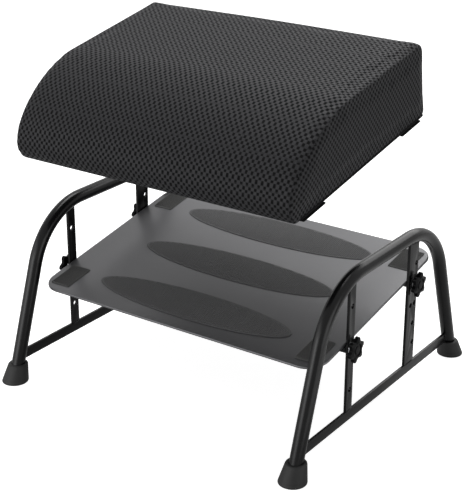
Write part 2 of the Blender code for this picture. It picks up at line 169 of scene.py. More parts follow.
def shell(grid, closed_rows=False):
    """(points, faces) of a grid; an open one gets a flat lid at each end."""
    rows, columns = grid.shape[:2]
    faces = skin(rows, columns, closed_rows).tolist()
    if not closed_rows:
        faces.append(list(range(columns))[::-1])
        faces.append(list(range((rows - 1) * columns, rows * columns)))
    return grid.reshape(-1, 3), faces


def boxes(centres, low, high):
    """(points, faces) of one small box at each centre, from its four low and four high corners."""
    points = np.asarray(centres)[:, None] + np.concatenate([low, high])[None]
    quads = [(0, 1, 5, 4), (1, 2, 6, 5), (2, 3, 7, 6), (3, 0, 4, 7), (4, 5, 6, 7), (3, 2, 1, 0)]
    faces = np.arange(len(points))[:, None, None] * 8 + np.array(quads)[None]
    return points, faces.reshape(-1, 4)


def square(half, z, shift=0.0):
    """The four corners of a level square, shifted along X."""
    return np.array([(sx * half + shift, sy * half, z) for sx, sy in ((-1, -1), (1, -1), (1, 1), (-1, 1))])


def piece(name, points, faces, coat, body, slot, nodes=(), sharp=40):
    """Makes the mesh, merges doubled points, points the faces outwards, shades smooth up to the
    sharp angle in degrees, and says its body and the CAD nodes that it stands for. The slot is not used."""
    mesh = bpy.data.meshes.new(name)
    mesh.from_pydata(np.asarray(points).reshape(-1, 3).tolist(), [], [list(f) for f in faces])
    work = bmesh.new()
    work.from_mesh(mesh)
    bmesh.ops.remove_doubles(work, verts=work.verts, dist=1e-6)
    bmesh.ops.dissolve_degenerate(work, edges=work.edges, dist=1e-7)
    bmesh.ops.recalc_face_normals(work, faces=work.faces)
    work.to_mesh(mesh)
    work.free()
    mesh.shade_smooth()
    mesh.set_sharp_from_angle(angle=math.radians(sharp))
    mesh.materials.append(coat)
    made = bpy.data.objects.new(name, mesh)
    bpy.context.scene.collection.objects.link(made)
    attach(made, body)
    if nodes:
        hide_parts(*nodes)
    print(f"{name}: {len(mesh.vertices)} points, {len(mesh.polygons)} faces")
    return made


# %% [markdown]
# ## Materials
#
# Each finish starts from the real material. Colours are written as sRGB hex and turned to linear
# light by one function; patterns are scaled from real sizes, so that a weave of 6 mm is 6 mm here.


# %% Helpers for materials
def linear(code):
    """sRGB hex to linear RGBA: c/12.92 below 0.04045, else ((c + 0.055)/1.055)^2.4."""
    c = np.array([int(code[i : i + 2], 16) / 255 for i in (1, 3, 5)])
    c = np.where(c <= 0.04045, c / 12.92, ((c + 0.055) / 1.055) ** 2.4)
    return (*c.tolist(), 1.0)


def material(name):
    """An empty node material with its Principled shader and its output."""
    made = bpy.data.materials.new(name)
    made.use_nodes = True
    return made, made.node_tree.nodes["Principled BSDF"]


def node(made, kind, links=(), **settings):
    """Adds one node. Settings are attributes, or inputs when they begin with i_; links are
    (input, source socket) pairs."""
    new = made.node_tree.nodes.new("ShaderNode" + kind)
    for key, value in settings.items():
        if key.startswith("i_"):
            key = key[2:]
            new.inputs[int(key) if key.isdigit() else key.replace("_", " ")].default_value = value
        else:
            setattr(new, key, value)
    for socket, source in links:
        made.node_tree.links.new(source, new.inputs[socket])
    return new


def wire(made, source, target):
    """Links one output socket to one input socket."""
    made.node_tree.links.new(source, target)


def shader_values(shader, **values):
    """Sets the shader's own sockets, underscores standing for spaces."""
    for key, value in values.items():
        shader.inputs[key.replace("_", " ")].default_value = value


CLOUD_SIZE = 0.06


def coated(name, base, other, grain_mm, roughness, spread, bump_mm, **values):
    """A finish with two close colours mixed by a slow noise of 60 mm, and a fine grain in height
    and roughness. A grain's size is its real one, and the noise scale is one over it."""
    made, shader = material(name)
    place = node(made, "TexCoord").outputs["Object"]
    slow = node(made, "TexNoise", [("Vector", place)], i_Scale=1 / CLOUD_SIZE, i_Detail=3.0)
    fine = node(made, "TexNoise", [("Vector", place)], i_Scale=1 / (grain_mm * MM), i_Detail=2.0)
    tint = node(made, "Mix", [(0, slow.outputs["Fac"])], data_type="RGBA")
    tint.inputs["A"].default_value = linear(base)
    tint.inputs["B"].default_value = linear(other)
    rough = node(made, "MapRange", [(0, fine.outputs["Fac"])])
    rough.inputs["To Min"].default_value = roughness - spread
    rough.inputs["To Max"].default_value = roughness + spread
    height = [("Height", fine.outputs["Fac"])]
    bump = node(made, "Bump", height, i_Strength=1.0, i_Distance=bump_mm * MM)
    wire(made, tint.outputs["Result"], shader.inputs["Base Color"])
    wire(made, rough.outputs["Result"], shader.inputs["Roughness"])
    wire(made, bump.outputs["Normal"], shader.inputs["Normal"])
    shader_values(shader, **values)
    return made


# %% Finishes
# Polyester powder coat on steel, baked: smooth, glossy, with the faint orange peel of cured powder.
BLACK_COAT = coated(
    "baked_black_powder_coat", "#0b0b0c", "#111112", 1.6, 0.24, 0.05, 0.03, Specular_IOR_Level=0.17
)
# The platform's coat is a satin grey with a little metal flake, so it mirrors more at low angles.
GREY_COAT = coated(
    "baked_satin_grey_powder_coat", "#5a5a5c", "#616163", 1.0, 0.34, 0.05, 0.02, Metallic=0.27
)
# Zinc-plated steel: a pale, slightly cloudy metal.
ZINC = coated("zinc_plated_steel", "#a9a9ac", "#bdbdc0", 3.0, 0.32, 0.08, 0.01, Metallic=1.0)
# Moulded black rubber of the feet: matt, with fine mould grain.
FOOT_RUBBER = coated(
    "moulded_black_rubber", "#101010", "#171717", 0.7, 0.62, 0.08, 0.05, Specular_IOR_Level=0.3
)
# The treads' rubber: softer and greyer, dusted.
TREAD_RUBBER = coated("pressed_tread_rubber", "#3e3e3f", "#464647", 0.9, 0.7, 0.06, 0.06)
# Glass-filled nylon of the knobs: black, half matt, spark-eroded grain.
KNOB_NYLON = coated(
    "moulded_black_nylon", "#08080a", "#0d0d0e", 0.5, 0.36, 0.05, 0.03, Specular_IOR_Level=0.05
)
# Hook tape: nylon loops cut open, a dull dark grey that holds dust.
HOOK_TAPE = coated("woven_hook_tape", "#3b3b3a", "#474746", 0.5, 0.9, 0.05, 0.2, Sheen_Weight=0.3)
# Loop tape: a napped face that swallows light, close to black.
LOOP_TAPE = coated(
    "napped_loop_tape", "#0c0c0c", "#131313", 0.4, 0.95, 0.03, 0.3, Specular_IOR_Level=0.08
)
# Woven cloth of the cushion's base and welt: black, with a faint bloom of loose fibre.
BASE_CLOTH = coated(
    "woven_base_cloth", "#101011", "#171718", 0.6, 0.95, 0.03, 0.2,
    Sheen_Weight=0.05, Specular_IOR_Level=0.12,
)
print(len(bpy.data.materials), "materials")

# %% [markdown]
# ## Sizes that the pieces share
#
# The same values as in the part's source, because the pieces lie exactly where its solids lie.

# %% Sizes
FRAME_X = 0.2355
TUBE_R = 0.0095
ARCH_HEIGHT = 0.2356
FEET_SPAN = 0.4386
LEAN = math.radians(18.55)
BEND_R = 0.1066
BAR_T = 0.004
BAR_TOP, BAR_BOTTOM = 0.04145, 0.02695
FIT = 0.0003
SCREW_Y, SCREW_Z, SCREW_SPAN = -0.086, 0.1325, 0.173
LOWEST_HOLE_Z, HEIGHT_PITCH, HOLE_D = 0.0725, 0.060, 0.007
TILT = math.radians(10)
TILTS_AT_HEIGHT = (3, 2, 1)
FOOT_H, FOOT_FLOOR, FOOT_BASE_R, FOOT_TOP_R = 0.025, 0.0055, 0.01925, 0.0140
SHEET_W, SHEET_L, SHEET_TOP, SHEET_T, SHEET_RIM = 0.465, 0.323, 0.0098, 0.0015, 0.0032
SHEET_CORNER_R, SHEET_EDGE_R = 0.030, 0.002
CROSS_R, CROSS_WALL, CROSS_END_X = 0.008, 0.0015, 0.2332
CUSHION_LIFT = 0.204
TUBE_START = (FOOT_FLOOR + FIT + TUBE_R * math.sin(LEAN)) / math.cos(LEAN)
FLAT_HALF = FEET_SPAN / 2 - ARCH_HEIGHT * math.tan(LEAN) - BEND_R * math.tan((math.pi / 2 - LEAN) / 2)
PLATFORM = Matrix.Translation((0, SCREW_Y, SCREW_Z)) @ Matrix.Rotation(TILT, 4, "X")
SIDES = (("left", -1), ("right", 1))
ENDS = (("front", 0.0), ("rear", SCREW_SPAN))
print("level top of the arches:", round(2 * FLAT_HALF * 1000, 1), "mm")

# %% [markdown]
# ## The side frames' tubes
#
# Each side is one round tube bent twice: a leaning leg, a bend of constant radius, a level top, and
# the same again. A path of legs and arcs with a circle swept along it is just how the tube was
# made, and 48 sides keep the highlight on it unbroken.


# %% Arch tubes
def arch_path(steps=40):
    """Centreline in Y and Z: the leg's start, an arc of the bend radius about (flat end, height -
    radius) from the lean to upright, and its mirror image."""
    turn = np.linspace(LEAN, np.pi / 2, steps)
    arc_y = -FLAT_HALF - BEND_R * np.cos(turn)
    arc_z = ARCH_HEIGHT - BEND_R + BEND_R * np.sin(turn)
    start = np.array([[-FEET_SPAN / 2 + TUBE_START * math.sin(LEAN), TUBE_START * math.cos(LEAN)]])
    first = np.array([[arc_y[0], arc_z[0]]])
    leg = start + (first - start) * np.linspace(0, 1, 12)[:-1, None]
    half = np.concatenate([leg, np.stack([arc_y, arc_z], 1)])
    return np.concatenate([half, (half * [-1, 1])[::-1]])


for side, sign in SIDES:
    yz = arch_path()
    path = np.column_stack([np.full(len(yz), sign * FRAME_X), yz])
    grid = swept(path, TUBE_R, (1, 0, 0), 48)
    piece(f"{side}_arch", *shell(grid), BLACK_COAT, "frame", "black_powder_coat", [f"{side}_arch_tube"])

# %% [markdown]
# ## Flat bars with their holes
#
# The uprights and the lower bars are cut from flat steel. A flat curve with hole splines inside its
# outline, extruded and bevelled, gives true round holes and softly broken edges, where a boolean
# would leave hard ones. It is made a mesh before it is stood up.


# %% Flat bars
EDGE_BREAK = 0.0005


def flat_bar(name, outline, holes, x, nodes):
    """A plate in Y and Z: a closed outline and circles as splines of one flat curve, grown by half
    the thickness to both sides with a round edge, then stood up so that (x, y, z) is (z', x', y')."""
    curve = bpy.data.curves.new(name, "CURVE")
    curve.dimensions, curve.fill_mode = "2D", "BOTH"
    curve.extrude, curve.bevel_depth, curve.bevel_resolution = BAR_T / 2 - EDGE_BREAK, EDGE_BREAK, 2
    curve.offset = -EDGE_BREAK
    angle = np.linspace(0, 2 * np.pi, 40, endpoint=False)
    circle = HOLE_D / 2 * np.stack([np.cos(angle), np.sin(angle)], 1)
    for rim in [np.asarray(outline, float)] + [circle + hole for hole in holes]:
        spline = curve.splines.new("POLY")
        spline.points.add(len(rim) - 1)
        flat_points = np.column_stack([rim, np.zeros(len(rim)), np.ones(len(rim))])
        spline.points.foreach_set("co", flat_points.ravel())
        spline.use_cyclic_u = True
    flat = bpy.data.objects.new(name + "_curve", curve)
    bpy.context.scene.collection.objects.link(flat)
    mesh = bpy.data.meshes.new_from_object(flat.evaluated_get(bpy.context.evaluated_depsgraph_get()))
    points = np.zeros(len(mesh.vertices) * 3)
    mesh.vertices.foreach_get("co", points)
    points = points.reshape(-1, 3)[:, [2, 0, 1]] + [x, 0, 0]
    faces = [list(face.vertices) for face in mesh.polygons]
    bpy.data.objects.remove(flat)
    bpy.data.meshes.remove(mesh)
    return piece(name, points, faces, BLACK_COAT, "frame", "black_powder_coat", nodes)


def arch_underside(y):
    """Height of the tube's underside above a place on Y: centre + sqrt(r^2 - (y - flat end)^2)."""
    past = np.maximum(np.abs(y) - FLAT_HALF, 0)
    return ARCH_HEIGHT - BEND_R + np.sqrt((BEND_R - TUBE_R) ** 2 - past**2)


def leg_edge(z):
    """How far from the middle the inner side of the leg is at a height."""
    return FEET_SPAN / 2 - z * math.tan(LEAN) - TUBE_R / math.cos(LEAN)


def upright_outline(centre, width):
    """Foot corners, then a top that follows the underside of the arch."""
    y = np.linspace(centre + width / 2, centre - width / 2, 13)
    top = np.stack([y, arch_underside(y)], 1)
    return np.concatenate([[[centre - width / 2, BAR_TOP], [centre + width / 2, BAR_TOP]], top])


front_holes = [(SCREW_Y, LOWEST_HOLE_Z + i * HEIGHT_PITCH) for i in range(3)]
rear_holes = [
    (y + SCREW_SPAN * math.cos(i * TILT), z + SCREW_SPAN * math.sin(i * TILT))
    for (y, z), tilts in zip(front_holes, TILTS_AT_HEIGHT)
    for i in range(tilts)
]
FRONT_W, REAR_W, REAR_Y = 0.0152, 0.0256, 0.0803
POSTS = (("front", SCREW_Y, FRONT_W, front_holes), ("rear", REAR_Y, REAR_W, rear_holes))
low, high = leg_edge(BAR_BOTTOM), leg_edge(BAR_TOP)
lower_outline = [(-low, BAR_BOTTOM), (low, BAR_BOTTOM), (high, BAR_TOP), (-high, BAR_TOP)]
for side, sign in SIDES:
    x = sign * FRAME_X
    flat_bar(f"{side}_bar", lower_outline, [], x, [f"{side}_lower_bar"])
    for end, y, width, holes in POSTS:
        outline = upright_outline(y, width)
        flat_bar(f"{end}_{side}_post", outline, holes, x, [f"{end}_{side}_upright"])

# %% [markdown]
# ## Weld beads
#
# Steel bars meet the tube in small arc welds, and the coat goes over them. A rod whose radius
# ripples along its length and falls to nothing at its ends has the look of such a bead.


# %% Welds
def bead(start, end, radius, ripple_mm=1.5):
    """A straight bead: radius x (1 + 0.1 sin(2 pi s / ripple)) x (1 - (2s/L - 1)^8)^(1/2)."""
    start, end = np.array(start), np.array(end)
    length = np.linalg.norm(end - start)
    s = np.linspace(0, 1, max(int(length / (0.25 * MM)), 12))
    wave = 1 + 0.10 * np.sin(2 * np.pi * s * length / (ripple_mm * MM))
    radii = radius * wave * np.sqrt(np.maximum(1 - (2 * s - 1) ** 8, 0.0004))
    return shell(swept(start + (end - start) * s[:, None], radii, (1, 0.3, 0.2), 12))


SMALL_BEAD, LARGE_BEAD, BEAD_SINK, BEAD_INSET = 0.0012, 0.0016, 0.0003, 0.001
for side, sign in SIDES:
    beads = []
    for face in (-1, 1):
        x = sign * FRAME_X + face * (BAR_T / 2 - BEAD_SINK)
        for _, centre, width, _ in POSTS:
            ends = [centre - width / 2 + BEAD_INSET, centre + width / 2 - BEAD_INSET]
            beads.append(bead(*[(x, y, BAR_TOP) for y in ends], SMALL_BEAD))
            beads.append(bead(*[(x, y, arch_underside(y)) for y in ends], LARGE_BEAD))
        for end in (-1, 1):
            heights = (BAR_BOTTOM + BEAD_INSET, BAR_TOP - BEAD_INSET)
            beads.append(bead(*[(x, end * leg_edge(z), z) for z in heights], LARGE_BEAD))
    piece(f"{side}_welds", *joined(*beads), BLACK_COAT, "frame", "black_powder_coat")

# %% [markdown]
# ## Rubber feet
#
# A foot is a round cone that leans with its leg, with a socket for the tube. Every section is a
# circle that slides along Y as it rises; inside the socket it is the ellipse in which a level plane
# cuts the leaning tube.


# %% Feet
def foot_grid(end, sides=64):
    """Sections (rx, ry, z), each centred at y = -end z tan(lean): base, cone, lip, socket, pole."""
    edge, deep = 0.0020, TUBE_START * math.cos(LEAN)
    bore = TUBE_R + 0.0001
    corners = np.array(
        [
            (0.0, 0.0, 0.0),
            (FOOT_BASE_R, FOOT_BASE_R, 0.0),
            (FOOT_TOP_R, FOOT_TOP_R, FOOT_H),
            (bore, bore / math.cos(LEAN), FOOT_H),
            (bore, bore / math.cos(LEAN), deep),
            (0.0, 0.0, deep),
        ]
    )
    rx, ry, z = smooth_corners(corners, [0, edge, edge * 1.3, edge / 4, 0, 0]).T[:, :, None]
    a = np.linspace(0, 2 * np.pi, sides, endpoint=False)[None, :]
    return np.stack([rx * np.cos(a), ry * np.sin(a) - end * z * math.tan(LEAN), z + 0 * a], -1)


for end_name, end in (("front", -1), ("rear", 1)):
    for side, sign in SIDES:
        grid = foot_grid(end) + [sign * FRAME_X, end * FEET_SPAN / 2, 0]
        name = f"{end_name}_{side}_foot"
        piece(name + "_rubber", *shell(grid), FOOT_RUBBER, "frame", "black_rubber", [name])

# %% [markdown]
# ## The platform sheet
#
# The sheet has round corners and its edge is turned down. A rounded rectangle drawn in by an inset
# is the skeleton point of each column plus its outward direction times (corner radius - inset), so
# the whole edge is one grid. The turned-down rim rises over the cross tubes where they pass under.


# %% Platform sheet
def rectangle_columns(width, length, corner_r, along_x=24, along_y=90, corner=16):
    """Skeleton points and outward directions round a rectangle with round corners."""
    half = np.array([width / 2 - corner_r, length / 2 - corner_r])
    quarter = np.linspace(0, np.pi / 2, corner + 1)
    spots, ways = [], []
    for k, (sx, sy) in enumerate(((1, 1), (-1, 1), (-1, -1), (1, -1))):
        turn = quarter + k * np.pi / 2
        spots.append(np.broadcast_to(half * (sx, sy), (corner + 1, 2)))
        ways.append(np.stack([np.cos(turn), np.sin(turn)], 1))
        count = along_x if k % 2 == 0 else along_y
        share = np.linspace(0, 1, count + 2)[1:-1, None]
        after = half * ((-1, 1), (-1, -1), (1, -1), (1, 1))[k]
        spots.append(half * (sx, sy) + (after - half * (sx, sy)) * share)
        ways.append(np.broadcast_to(ways[-1][-1], (count, 2)))
    return np.concatenate(spots), np.concatenate(ways)


def rounded_plate(width, length, corner_r, profile, **counts):
    """A grid of the rounded rectangle drawn in by each (inset, height) of a profile."""
    spots, ways = rectangle_columns(width, length, corner_r, **counts)
    inset, height = np.asarray(profile, float).T[:, :, None]
    reach = np.maximum(corner_r - inset, 0)[..., None]
    flat = spots[None] + ways[None] * reach
    return np.concatenate([flat, np.broadcast_to(height[..., None], (*flat.shape[:2], 1))], -1)


sheet_profile = smooth_corners(
    [(SHEET_CORNER_R, 0), (0, 0), (0, -SHEET_RIM), (SHEET_T, -SHEET_RIM), (SHEET_T, -SHEET_T),
     (SHEET_CORNER_R, -SHEET_T)],
    [0, SHEET_EDGE_R, 0.0004, 0.0004, 0.0003, 0], 7,
)
sheet_grid = rounded_plate(SHEET_W, SHEET_L, SHEET_CORNER_R, sheet_profile)
at_side = np.abs(sheet_grid[..., 0]) > SHEET_W / 2 - 2 * SHEET_T
for y in (-SCREW_SPAN / 2, SCREW_SPAN / 2):
    reach = np.sqrt(np.maximum((CROSS_R + 2 * FIT) ** 2 - (sheet_grid[..., 1] - y) ** 2, 0))
    over_tube = reach - SHEET_TOP
    lift = at_side & (sheet_grid[..., 2] < over_tube) & (over_tube > -SHEET_RIM)
    sheet_grid[..., 2] = np.where(lift, over_tube, sheet_grid[..., 2])
ON_PLATFORM = PLATFORM @ Matrix.Translation((0, SCREW_SPAN / 2, SHEET_TOP))
piece(
    "platform_top", *shell(moved(sheet_grid, ON_PLATFORM)), GREY_COAT, "platform", "grey_powder_coat",
    ["platform_sheet"],
)

# %% Cross tubes
for end, y in ENDS:
    wall = smooth_corners(
        [(CROSS_R - CROSS_WALL, 0), (CROSS_R - CROSS_WALL, -CROSS_END_X), (CROSS_R, -CROSS_END_X),
         (CROSS_R, CROSS_END_X), (CROSS_R - CROSS_WALL, CROSS_END_X), (CROSS_R - CROSS_WALL, 0)],
        [0, 0.0004, 0.0004, 0.0004, 0.0004, 0], 3,
    )
    lying = PLATFORM @ Matrix.Translation((0, y, 0)) @ Matrix.Rotation(math.pi / 2, 4, "Y")
    grid = moved(turned(wall[:-1], 40), lying)
    piece(
        f"{end}_cross_bar", *shell(grid, True), BLACK_COAT, "platform", "black_powder_coat",
        [f"{end}_cross_tube"],
    )

# %% [markdown]
# ## Rubber treads
#
# Three elliptical rubber treads are stuck on the sheet. Their faces are knurled: rows of small
# pyramids with their tips cut off, 2.8 mm apart, one on every grid centre that lies inside the
# ellipse. The share of the pitch that a pyramid covers is given for its foot and for its crest.

# %% Treads
TREAD_A, TREAD_B, TREAD_T, TREAD_PITCH = 0.1595, 0.0315, 0.0016, 0.1075
KNURL_PITCH, KNURL_H, KNURL_MARGIN, KNURL_FOOT, KNURL_CREST = 0.0028, 0.0006, 0.0022, 0.46, 0.16
TREAD_PLATE_T = TREAD_T - KNURL_H


def tread():
    """The plate is an ellipse drawn in by a rounded profile; the knurls stand on it."""
    profile = smooth_corners(
        [(TREAD_B, 0), (0, 0), (0, TREAD_PLATE_T), (TREAD_B, TREAD_PLATE_T)], [0, 0.0002, 0.0006, 0], 4,
    )
    a = np.linspace(0, 2 * np.pi, 128, endpoint=False)[None, :]
    inset, height = profile.T[:, :, None]
    grid = np.stack([(TREAD_A - inset) * np.cos(a), (TREAD_B - inset) * np.sin(a), height + 0 * a], -1)
    nx, ny = int(TREAD_A / KNURL_PITCH), int(TREAD_B / KNURL_PITCH)
    cx, cy = np.meshgrid(np.arange(-nx, nx + 1) * KNURL_PITCH, np.arange(-ny, ny + 1) * KNURL_PITCH)
    inside = (cx / (TREAD_A - KNURL_MARGIN - 0.002)) ** 2 + (cy / (TREAD_B - KNURL_MARGIN)) ** 2 < 1
    centres = np.stack([cx[inside], cy[inside], 0 * cx[inside]], 1)
    low = square(KNURL_PITCH * KNURL_FOOT, TREAD_PLATE_T - 0.0001)
    high = square(KNURL_PITCH * KNURL_CREST, TREAD_T)
    return joined(shell(grid), boxes(centres, low, high))


points, faces = tread()
for i, name in enumerate(("front_tread", "middle_tread", "rear_tread")):
    placed = moved(points, ON_PLATFORM @ Matrix.Translation((0, (i - 1) * TREAD_PITCH, FIT / 3)))
    piece(
        name + "_rubber", placed, faces, TREAD_RUBBER, "platform", "tread_rubber", [name], sharp=30
    )

# %% [markdown]
# ## Hook and loop patches
#
# Hook patches are stuck near the platform's corners and loop patches under the cushion. The hooks
# are a field of little leaning stubs, made like the knurls, and the nap of the loop side is a field
# of lower stubs that lean the other way. They are 1.3 mm apart, coarser than real hooks, which would
# be too fine to show.

# %% Patches
PATCH_W, PATCH_L, PATCH_T = 0.032, 0.051, 0.0016
PATCH_X, PATCH_Y = SHEET_W / 2 - 0.0105 - PATCH_W / 2, SHEET_L / 2 - 0.0135 - PATCH_L / 2
TAPE_CORNER, TAPE_MARGIN = 0.002, 0.001
STUB_PITCH, STUB_SHARE, STUB_TAPER, HOOK_H, NAP_H = 0.0013, 0.33, 0.6, 0.0005, 0.0004


def tape(thick, stub_h, lean):
    """A thin rounded backing with a field of stubs: boxes that narrow and lean as they rise."""
    backing = smooth_corners(
        [(TAPE_CORNER, 0), (0, 0), (0, thick), (TAPE_CORNER, thick)], [0, 0.0002, 0.0004, 0], 3
    )
    grid = rounded_plate(PATCH_W, PATCH_L, TAPE_CORNER, backing, along_x=8, along_y=12, corner=5)
    nx, ny = (int((side / 2 - TAPE_MARGIN) / STUB_PITCH) for side in (PATCH_W, PATCH_L))
    cx, cy = np.meshgrid(np.arange(-nx, nx + 1) * STUB_PITCH, np.arange(-ny, ny + 1) * STUB_PITCH)
    centres = np.stack([cx.ravel(), cy.ravel(), np.full(cx.size, thick)], 1)
    half = STUB_PITCH * STUB_SHARE
    stubs = boxes(centres, square(half, -0.0001), square(half * STUB_TAPER, stub_h, lean))
    return joined(shell(grid), stubs)


SEAT_Z = SHEET_TOP + FIT + PATCH_T + FIT + PATCH_T + FIT + CUSHION_LIFT
SEAT = PLATFORM @ Matrix.Translation((0, SCREW_SPAN / 2, SEAT_Z))
FACE_DOWN = Matrix.Rotation(math.pi, 4, "Y")
hooks = tape(PATCH_T - HOOK_H, HOOK_H, 0.0002)
loops = tape(PATCH_T - NAP_H, NAP_H, -0.0003)
for end, end_sign in (("front", -1), ("rear", 1)):
    for side, sign in SIDES:
        x, y = sign * PATCH_X, end_sign * PATCH_Y
        name = f"{end}_{side}_hook_patch"
        placed = moved(hooks[0], ON_PLATFORM @ Matrix.Translation((x, y, FIT / 3)))
        piece(name + "_tape", placed, hooks[1], HOOK_TAPE, "platform", "hook_tape", [name], sharp=30)
        name = f"{end}_{side}_loop_patch"
        placed = moved(loops[0], SEAT @ Matrix.Translation((x, y, 0)) @ FACE_DOWN)
        piece(name + "_tape", placed, loops[1], LOOP_TAPE, "cushion", "loop_tape", [name], sharp=30)

# %% [markdown]
# ## Star knobs, studs and washers
#
# The grip is a lathe shape whose outer sections are pressed into six lobes, with a raised ring and
# a hub on its face. Each corner of its profile carries a third number, how much of the lobes it
# feels, and rounding the corners blends that number too. The stud has a real thread: its radius
# depends on (height / pitch - angle).

# %% Knobs
KNOB_R, LOBES, LOBE_DEPTH, LOBE_PHASE = 0.01775, 6, 0.0048, math.radians(-24)
KNOB_T, COLLAR_R, COLLAR_T = 0.006, 0.008, 0.0025
STUD_R, STUD_REACH, STUD_IN_KNOB, THREAD_DEPTH = 0.003, 0.005, 0.006, 0.00055
WASHER_R, WASHER_BORE_R, WASHER_T = 0.008, STUD_R + 0.0004, 0.0012
WASHER_X = FRAME_X + BAR_T / 2 + FIT
KNOB_X = WASHER_X + WASHER_T + FIT
TIP_X = CROSS_END_X - STUD_REACH


def knob_grid(sides=160):
    """Radius r - lobed x depth x (1 - cos(6 (a - phase))) / 2 at each (r, z, lobed): the bore, the
    collar, the lobes and their sloping face, the ring, the groove round the hub, and the hub."""
    top = COLLAR_T + KNOB_T
    corners = [
        (0, STUD_IN_KNOB, 0), (STUD_R + FIT, STUD_IN_KNOB, 0), (STUD_R + FIT, 0, 0), (COLLAR_R, 0, 0),
        (COLLAR_R, COLLAR_T, 0), (KNOB_R, COLLAR_T, 1), (KNOB_R, top - 0.0012, 1), (0.0112, top, 0.4),
        (0.0096, top, 0), (0.0088, top - 0.0014, 0), (0.0062, top - 0.0014, 0), (0.0054, top - 0.0002, 0),
        (0, top, 0),
    ]
    reach = [0, 0, 0.0002, 0.0006, 0.0006, 0.0020, 0.0020, 0.0012, 0.0004, 0.0004, 0.0004, 0.0006, 0]
    r, z, lobed = smooth_corners(corners, reach, 7).T[:, :, None]
    a = np.linspace(0, 2 * np.pi, sides, endpoint=False)[None, :]
    radius = r - lobed * LOBE_DEPTH * (1 - np.cos(LOBES * (a - LOBE_PHASE))) / 2
    return np.stack([radius * np.cos(a), radius * np.sin(a), z + 0 * a], -1)


def stud_grid(length, pitch=0.001, sides=24):
    """A thread: radius - depth (1 + cos 2 pi (z / pitch - a / 2 pi)) / 2, tapered at the tip."""
    z = np.arange(0, length, pitch / 8)[:, None]
    a = np.linspace(0, 2 * np.pi, sides, endpoint=False)[None, :]
    taper = np.minimum(1, 0.75 + z / 0.003)
    groove = THREAD_DEPTH * (1 + np.cos(2 * np.pi * (z / pitch - a / (2 * np.pi)))) / 2
    radius = (STUD_R - groove) * taper
    return np.stack([radius * np.cos(a), radius * np.sin(a), z + 0 * a], -1)


washer = smooth_corners(
    [(WASHER_BORE_R, WASHER_T / 2), (WASHER_BORE_R, 0), (WASHER_R, 0), (WASHER_R, WASHER_T),
     (WASHER_BORE_R, WASHER_T), (WASHER_BORE_R, WASHER_T / 2)],
    [0, 0.0002, 0.0003, 0.0003, 0.0002, 0], 3,
)[:-1]
for end, y in ENDS:
    for side, sign in SIDES:
        corner = f"{end}_{side}"
        axis = PLATFORM @ Matrix.Translation((0, y, 0)) @ Matrix.Rotation(sign * math.pi / 2, 4, "Y")
        along = [(corner + "_washer", WASHER_X), (corner + "_stud", TIP_X), (corner + "_knob", KNOB_X)]
        grids = [turned(washer, 40), stud_grid(KNOB_X + STUD_IN_KNOB - TIP_X), knob_grid()]
        finishes = [(ZINC, "zinc_steel"), (ZINC, "zinc_steel"), (KNOB_NYLON, "black_nylon")]
        for (name, x), grid, (coat, slot) in zip(along, grids, finishes):
            at = axis @ Matrix.Translation((0, 0, x))
            body = frame["nodes"][name]["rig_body"]
            made = shell(moved(grid, at), name.endswith("washer"))
            piece(name + "_piece", *made, coat, body, slot, [name])

# %% [markdown]
# ## The cushion
#
# A block of foam in a tight mesh cover. Its side view is a nose, a sloping front, a flat top and a
# round back edge. The form is a loft of that outline across the width, with its ends rounded. The
# stuffing pushes it a little out of true: the ends lean outwards, the back leans in and the nose
# hangs. Then the cover is blown up as cloth by a little air pressure, which rounds it as foam does.
# Only the part of that movement square to the surface is kept, and it is capped at 2.2 mm, so that
# the cushion stays the size it is.

# %% Cushion outline
CUSHION_W, CUSHION_D, CUSHION_H = 0.4335, 0.3335, 0.105
TOP_SPREAD, BACK_LEAN, NOSE_DROP = 0.016, 0.005, 0.0025
HANG_FROM, HANG_OVER, HANG_HEIGHT = -0.146, 0.012, 0.05
NOSE_H, NOSE_TUCK, FRONT_SLOPE, FULLNESS = 0.022, 0.017, 0.137, 1.7
BACK_EDGE_R, BASE_EDGE_R, END_EDGE_R, CROWN = 0.009, 0.006, 0.0045, 0.002


def cushion_outline():
    """(y, z) round the side view: quarter ellipse of the nose, a superellipse front, the flat top,
    the back's quarter rounds and the underside, 1 to 3 mm apart."""
    front, back = -CUSHION_D / 2, CUSHION_D / 2
    t = np.linspace(0, np.pi / 2, 12)
    nose = np.stack([front + NOSE_TUCK * (1 - np.sin(t)), NOSE_H * (1 - np.cos(t))], 1)
    t = np.linspace(0, np.pi / 2, 72)[1:]
    power = 2 / FULLNESS
    rise = CUSHION_H - NOSE_H
    y = front + FRONT_SLOPE * (1 - np.cos(t) ** power)
    slope = np.stack([y, NOSE_H + rise * np.sin(t) ** power], 1)
    top_y = np.linspace(front + FRONT_SLOPE, back - BACK_EDGE_R, 60)[1:]
    top = np.stack([top_y, np.full(len(top_y), CUSHION_H)], 1)
    t = np.linspace(0, np.pi / 2, 9)[1:]
    edge = np.stack([back - BACK_EDGE_R * (1 - np.sin(t)), CUSHION_H - BACK_EDGE_R * (1 - np.cos(t))], 1)
    z = np.linspace(CUSHION_H - BACK_EDGE_R, BASE_EDGE_R, 30)[1:]
    rear = np.stack([np.full(len(z), back), z], 1)
    base_edge = np.stack([back - BASE_EDGE_R * (1 - np.cos(t)), BASE_EDGE_R * (1 - np.sin(t))], 1)
    y = np.linspace(back - BASE_EDGE_R, front + NOSE_TUCK, 90)[1:-1]
    under = np.stack([y, np.zeros(len(y))], 1)
    return np.concatenate([nose, slope, top, edge, rear, base_edge, under])


OUTLINE = cushion_outline()
step = np.roll(OUTLINE, -1, 0) - np.roll(OUTLINE, 1, 0)
step /= np.linalg.norm(step, axis=1, keepdims=True)
INWARD = np.stack([step[:, 1], -step[:, 0]], 1)


